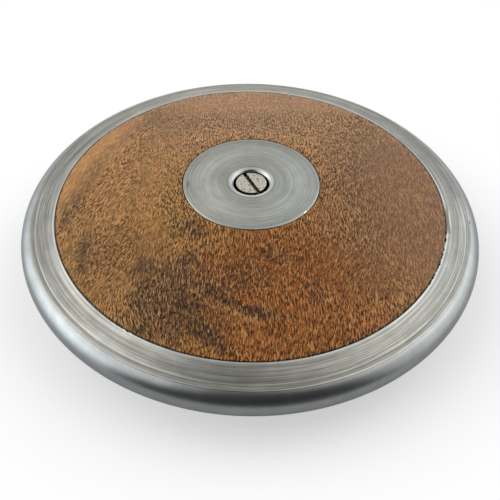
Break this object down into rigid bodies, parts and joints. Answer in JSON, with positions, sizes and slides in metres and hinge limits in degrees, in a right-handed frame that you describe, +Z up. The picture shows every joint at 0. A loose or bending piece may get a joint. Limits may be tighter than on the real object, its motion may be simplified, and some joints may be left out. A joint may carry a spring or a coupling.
{
  "type": "discus",
  "caption": "Throwing discus: wooden lens-shaped body in a round-edged steel rim, with steel centre plates drawn together by a slotted bolt over adjustable ballast.",
  "frame": {"origin": "on the axis, in the plane of the lower centre plate's face, which is what the discus rests on", "axes": "+Z up along the axis of the discus and of its bolt, +X to the right in the picture's view, +Y away from the viewer"},
  "size_m": [0.181, 0.181, 0.038],
  "materials": {
    "rim_steel": "satin",
    "plate_steel": "satin",
    "screw_steel": "matte",
    "ballast_steel": "matte",
    "varnished_wood": "satin"
  },
  "bodies": {
    "discus": {"rim": "rim_steel", "rim_pin_1": "screw_steel", "rim_pin_2": "screw_steel", "rim_pin_3": "screw_steel", "rim_pin_4": "screw_steel", "rim_pin_5": "screw_steel", "rim_pin_6": "screw_steel", "upper_wood_half": "varnished_wood", "lower_wood_half": "varnished_wood", "upper_centre_plate": "plate_steel", "lower_centre_plate": "plate_steel", "sleeve_nut": "screw_steel", "nut_washer": "screw_steel", "core_bush": "ballast_steel", "upper_ballast_ring": "ballast_steel", "lower_ballast_ring": "ballast_steel", "upper_trim_washer_1": "ballast_steel", "upper_trim_washer_2": "ballast_steel", "lower_trim_washer_1": "ballast_steel", "lower_trim_washer_2": "ballast_steel"},
    "lock_washer": {"bolt_spring_washer": "screw_steel"},
    "bolt": {"centre_bolt": "screw_steel"}
  },
  "joints": [
    {"name": "bolt_lift", "type": "slide", "parent": "discus", "child": "lock_washer", "axis": [0, 0, 1], "range_m": [0, 0.0125]},
    {"name": "bolt_turn", "type": "hinge", "parent": "lock_washer", "child": "bolt", "pos_m": [0, 0, 0.0324], "axis": [0, 0, 1], "range_deg": [0, 3600]}
  ],
  "couplings": [
    {"joint": "bolt_lift", "follows": "bolt_turn", "m_per_rad": 0.00019894}
  ]
}
